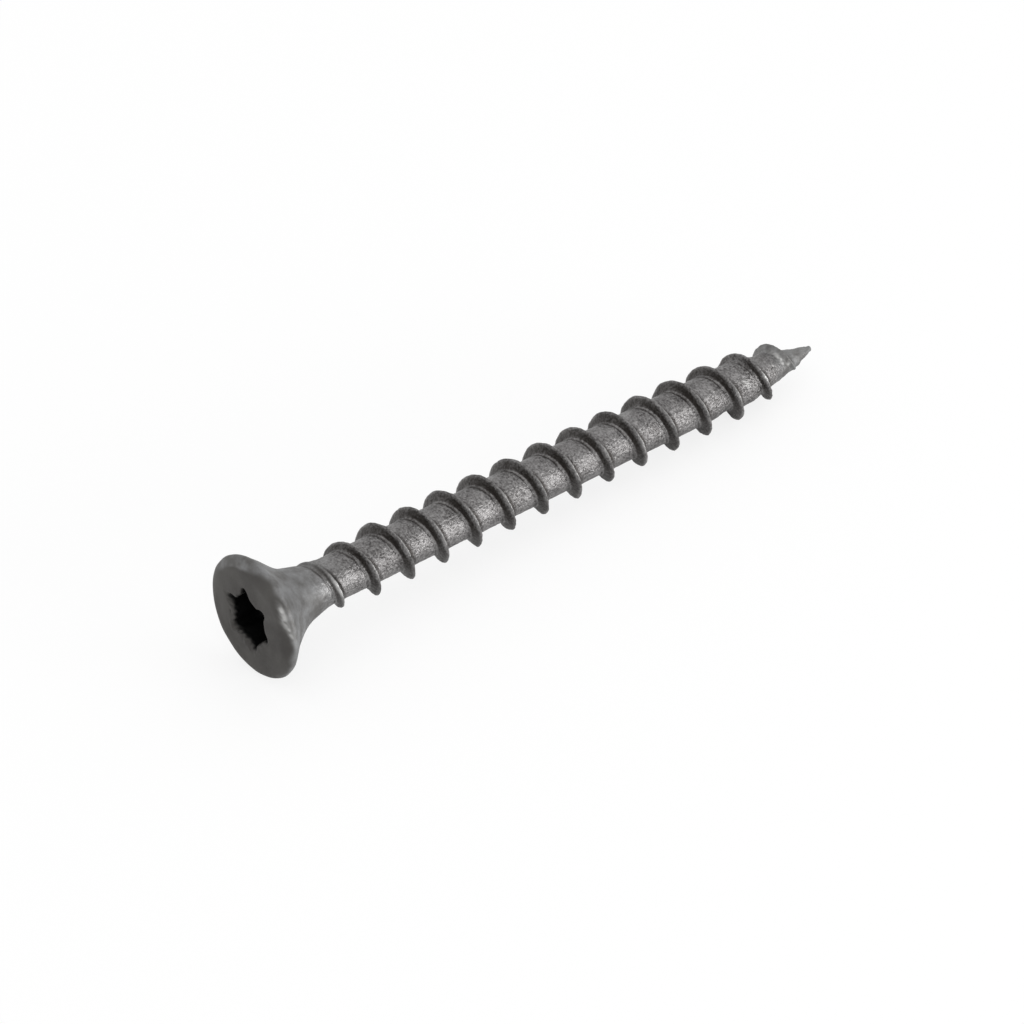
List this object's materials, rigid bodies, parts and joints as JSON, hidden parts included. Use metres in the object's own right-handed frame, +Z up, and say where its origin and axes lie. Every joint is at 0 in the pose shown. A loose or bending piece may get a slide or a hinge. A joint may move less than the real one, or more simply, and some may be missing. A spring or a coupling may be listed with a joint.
{
  "type": "countersunk screw",
  "caption": "Countersunk wood screw lying at rest: trumpet-shaped head with a six-lobe recess, coarse single right-hand thread, tapered point, dull zinc coating.",
  "frame": {"origin": "centre of the underside of the bounding box: the surface that the screw lies on, at half of its length", "axes": "+X along the length from the head to the point, seen from above; +Z up. The screw lies on its rim and on one thread crest near the point, so its axis falls 3.02 degrees towards the point"},
  "size_m": [0.0502, 0.009, 0.009],
  "materials": {
    "zinc": "dull grey galvanised zinc, grainy on the shank, mottled on the head"
  },
  "bodies": {
    "root": {"screw": "zinc"}
  },
  "joints": []
}
